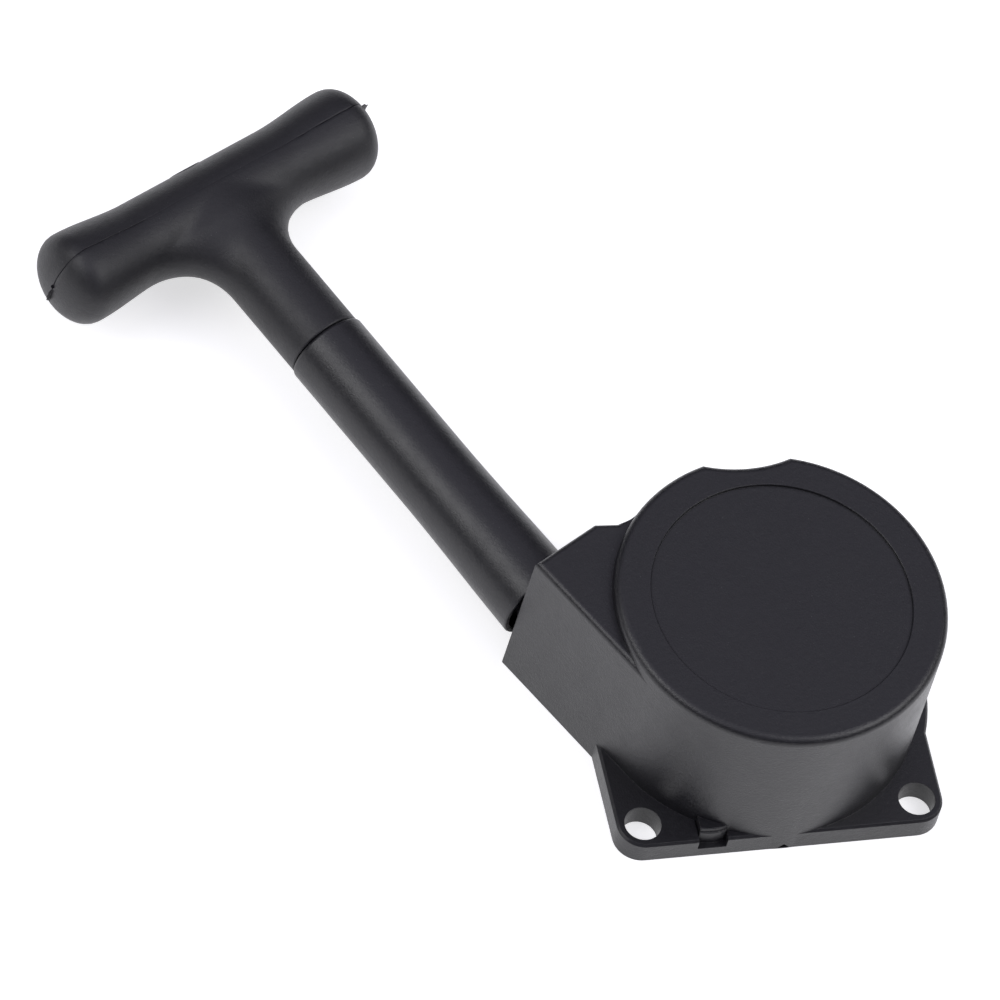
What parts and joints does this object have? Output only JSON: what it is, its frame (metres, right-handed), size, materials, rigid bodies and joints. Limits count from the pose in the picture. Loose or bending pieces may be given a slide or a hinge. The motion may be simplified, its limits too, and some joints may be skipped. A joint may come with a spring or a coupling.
{
  "type": "recoil starter",
  "caption": "Pull starter for a small engine: round black case on a square flange, with a side outlet, a straight rope tube and a T grip.",
  "frame": {"origin": "on the reel's axis, at the mounting face (the flange's underside)", "axes": "+Z away from the engine, towards the drum's closed top; +X along the flange's front edge, to the right; +Y to the flange's rear edge. The rope runs out at 116 degrees from +X in the XY plane"},
  "size_m": [0.1683, 0.1812, 0.0418],
  "materials": {
    "case_plastic": "fine-grained black moulded plastic, satin",
    "tube_plastic": "smooth black moulded plastic, satin",
    "grip_rubber": "smooth black moulded grip, satin, with a parting line",
    "grommet_rubber": "soft black rubber",
    "ferrule_steel": "polished steel",
    "insert_brass": "knurled brass",
    "zinc_steel": "bright zinc plate",
    "cassette_plastic": "dark grey moulded plastic",
    "spring_steel": "blued spring steel, oiled",
    "reel_plastic": "natural white nylon",
    "rope_braid": "braided cord",
    "pin_steel": "ground steel",
    "pawl_plastic": "filled black nylon",
    "plate_steel": "pressed steel plate"
  },
  "bodies": {
    "case": {"starter_case": "case_plastic", "rope_guide_tube": "tube_plastic", "outlet_grommet": "grommet_rubber", "tube_ferrule": "ferrule_steel", "rope_eyelet": "ferrule_steel", "threaded_insert": "insert_brass", "reel_screw": "zinc_steel", "reel_washer": "zinc_steel", "cassette_screws": "zinc_steel", "spring_cassette": "cassette_plastic", "spring_cover": "cassette_plastic", "rewind_spring": "spring_steel", "friction_spring": "spring_steel"},
    "reel": {"rope_reel": "reel_plastic", "rope_coil": "rope_braid", "reel_knot": "rope_braid", "pawl_pins": "pin_steel"},
    "friction_plate": {"friction_plate": "plate_steel"},
    "pawl_a": {"pawl_a": "pawl_plastic"},
    "pawl_b": {"pawl_b": "pawl_plastic"},
    "grip": {"grip_handle": "grip_rubber", "grip_knot": "rope_braid", "knot_washer": "zinc_steel", "grip_plug": "grip_rubber", "starter_rope": "rope_braid"}
  },
  "joints": [
    {"name": "grip_pull", "type": "slide", "parent": "case", "child": "grip", "axis": [-0.4384, 0.8988, 0], "range_m": [0, 0.7], "stiffness_N_per_m": 12, "springref_m": -0.6, "deforming": ["starter_rope"]},
    {"name": "reel_spin", "type": "hinge", "parent": "case", "child": "reel", "pos_m": [0, 0, 0.01575], "axis": [0, 0, 1], "range_deg": [-1700, 0], "deforming": ["rewind_spring"]},
    {"name": "plate_turn", "type": "hinge", "parent": "reel", "child": "friction_plate", "pos_m": [0, 0, 0.0036], "axis": [0, 0, 1], "range_deg": [0, 22]},
    {"name": "pawl_a_swing", "type": "hinge", "parent": "reel", "child": "pawl_a", "pos_m": [0.01039, 0.006, 0.0074], "axis": [0, 0, 1], "range_deg": [0, 24.1]},
    {"name": "pawl_b_swing", "type": "hinge", "parent": "reel", "child": "pawl_b", "pos_m": [-0.01039, -0.006, 0.0074], "axis": [0, 0, 1], "range_deg": [0, 24.1]}
  ],
  "couplings": [
    {"joint": "reel_spin", "follows": "grip_pull", "rad_per_m": -42.194},
    {"joint": "pawl_a_swing", "follows": "plate_turn", "ratio": 1.0909},
    {"joint": "pawl_b_swing", "follows": "plate_turn", "ratio": 1.0909}
  ]
}
